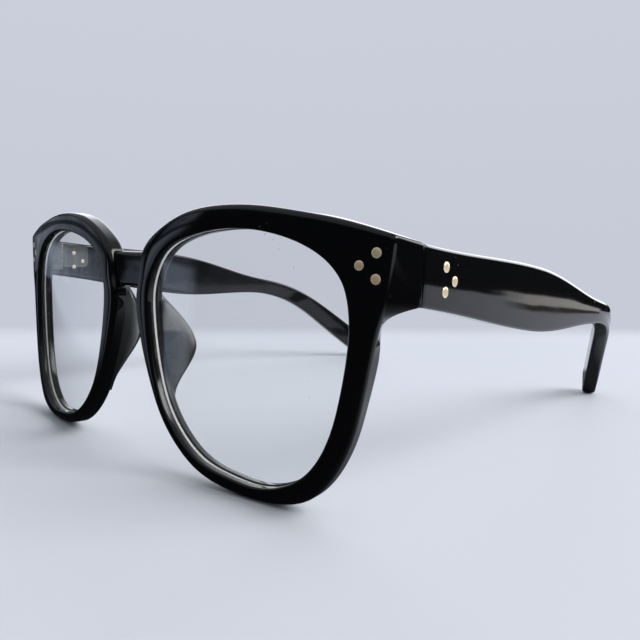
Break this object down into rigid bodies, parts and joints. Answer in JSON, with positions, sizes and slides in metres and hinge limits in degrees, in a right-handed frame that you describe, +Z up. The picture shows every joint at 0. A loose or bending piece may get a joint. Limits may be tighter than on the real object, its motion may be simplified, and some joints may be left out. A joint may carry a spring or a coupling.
{
  "type": "square eyeglasses",
  "caption": "Square glossy black acetate eyeglasses with clear lenses, brass triangle rivets, built-up nose pads and folding temples.",
  "frame": {"origin": "middle of the footprint at the height of the table, under the rims and temple tips", "axes": "+Z up, -Y towards the front of the glasses (the way the wearer looks), +X towards the wearer's left"},
  "size_m": [0.1338, 0.1462, 0.0532],
  "materials": {
    "acetate": "gloss",
    "pad_acetate": "satin",
    "clear_lens": "gloss",
    "hinge_metal": "satin",
    "screw_steel": "satin",
    "rivet_brass": "gloss",
    "core_steel": "satin"
  },
  "bodies": {
    "front": {"front": "acetate", "nose_pad_left": "pad_acetate", "nose_pad_right": "pad_acetate", "lens_left": "clear_lens", "lens_right": "clear_lens", "front_hinge_left": "hinge_metal", "front_hinge_right": "hinge_metal", "hinge_screw_left": "screw_steel", "hinge_screw_right": "screw_steel", "front_rivets_left": "rivet_brass", "front_rivets_right": "rivet_brass"},
    "left_temple": {"temple_left": "acetate", "core_wire_left": "core_steel", "temple_hinge_left": "hinge_metal", "temple_rivets_left": "rivet_brass"},
    "right_temple": {"temple_right": "acetate", "core_wire_right": "core_steel", "temple_hinge_right": "hinge_metal", "temple_rivets_right": "rivet_brass"}
  },
  "joints": [
    {"name": "left_temple_fold", "type": "hinge", "parent": "front", "child": "left_temple", "pos_m": [0.06013, -0.05905, 0.04218], "axis": [0, 0.0189, 0.9998], "range_deg": [0, 84]},
    {"name": "right_temple_fold", "type": "hinge", "parent": "front", "child": "right_temple", "pos_m": [-0.06013, -0.05905, 0.04218], "axis": [0, -0.0189, -0.9998], "range_deg": [0, 65]}
  ]
}
